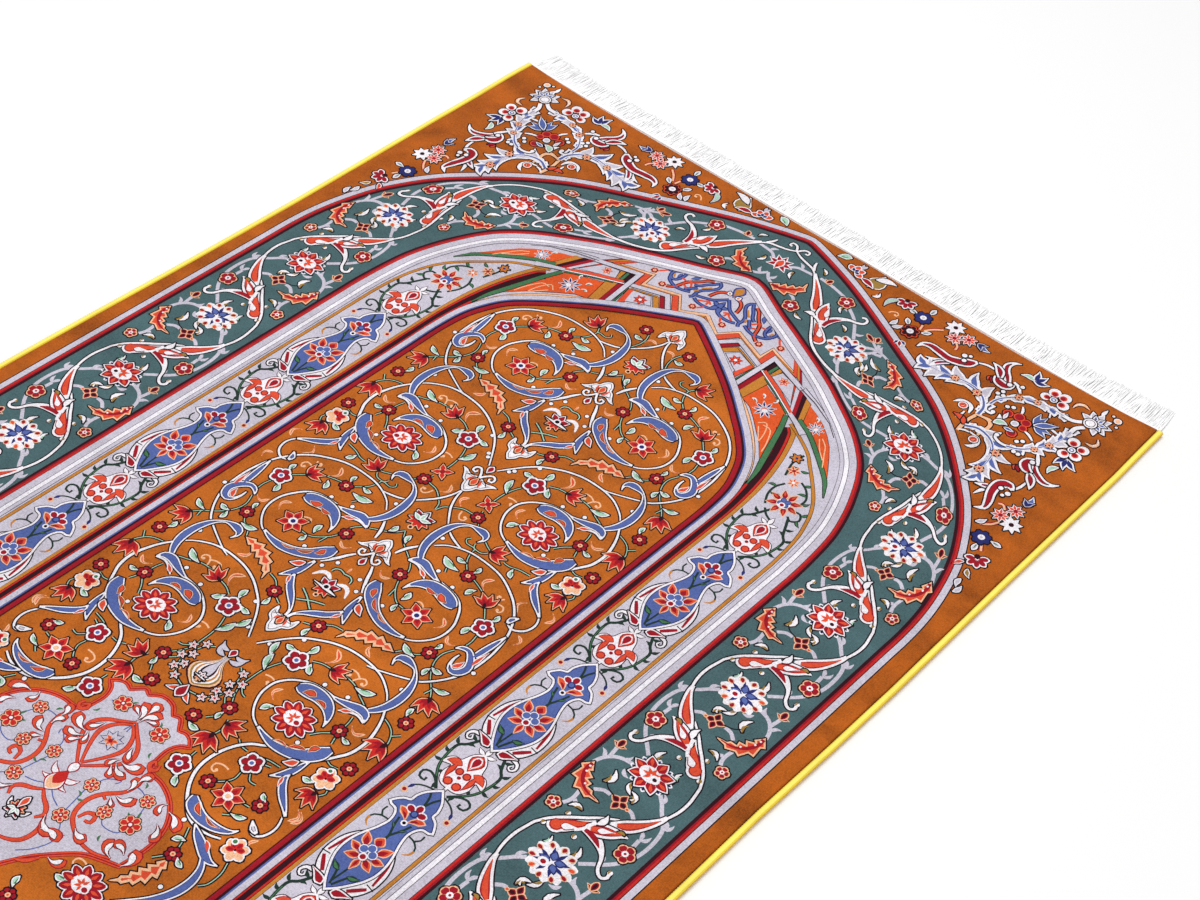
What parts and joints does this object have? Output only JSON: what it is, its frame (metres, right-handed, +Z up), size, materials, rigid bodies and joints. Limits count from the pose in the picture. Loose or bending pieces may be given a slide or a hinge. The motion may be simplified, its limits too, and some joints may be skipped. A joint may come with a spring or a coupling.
{
  "type": "prayer rug",
  "caption": "Flat pile prayer rug with a pointed niche design, overcast side cords and a white yarn fringe at each end.",
  "frame": {"origin": "under the middle of the rug's box, on the surface that it lies on", "axes": "+Z up out of the pile, +Y towards the head end where the niche comes to its point, +X to the right when looking towards the head from above"},
  "size_m": [0.7046, 1.2756, 0.005],
  "materials": {
    "rug_pile": "short cut pile, saffron ground with teal, grey and coral pattern",
    "side_overcast": "yellow overcast yarn",
    "fringe_yarn": "white twisted yarn"
  },
  "bodies": {
    "root": {"rug_body": "rug_pile", "selvedge_left": "side_overcast", "selvedge_right": "side_overcast", "fringe_head": "fringe_yarn", "fringe_foot": "fringe_yarn"}
  },
  "joints": []
}
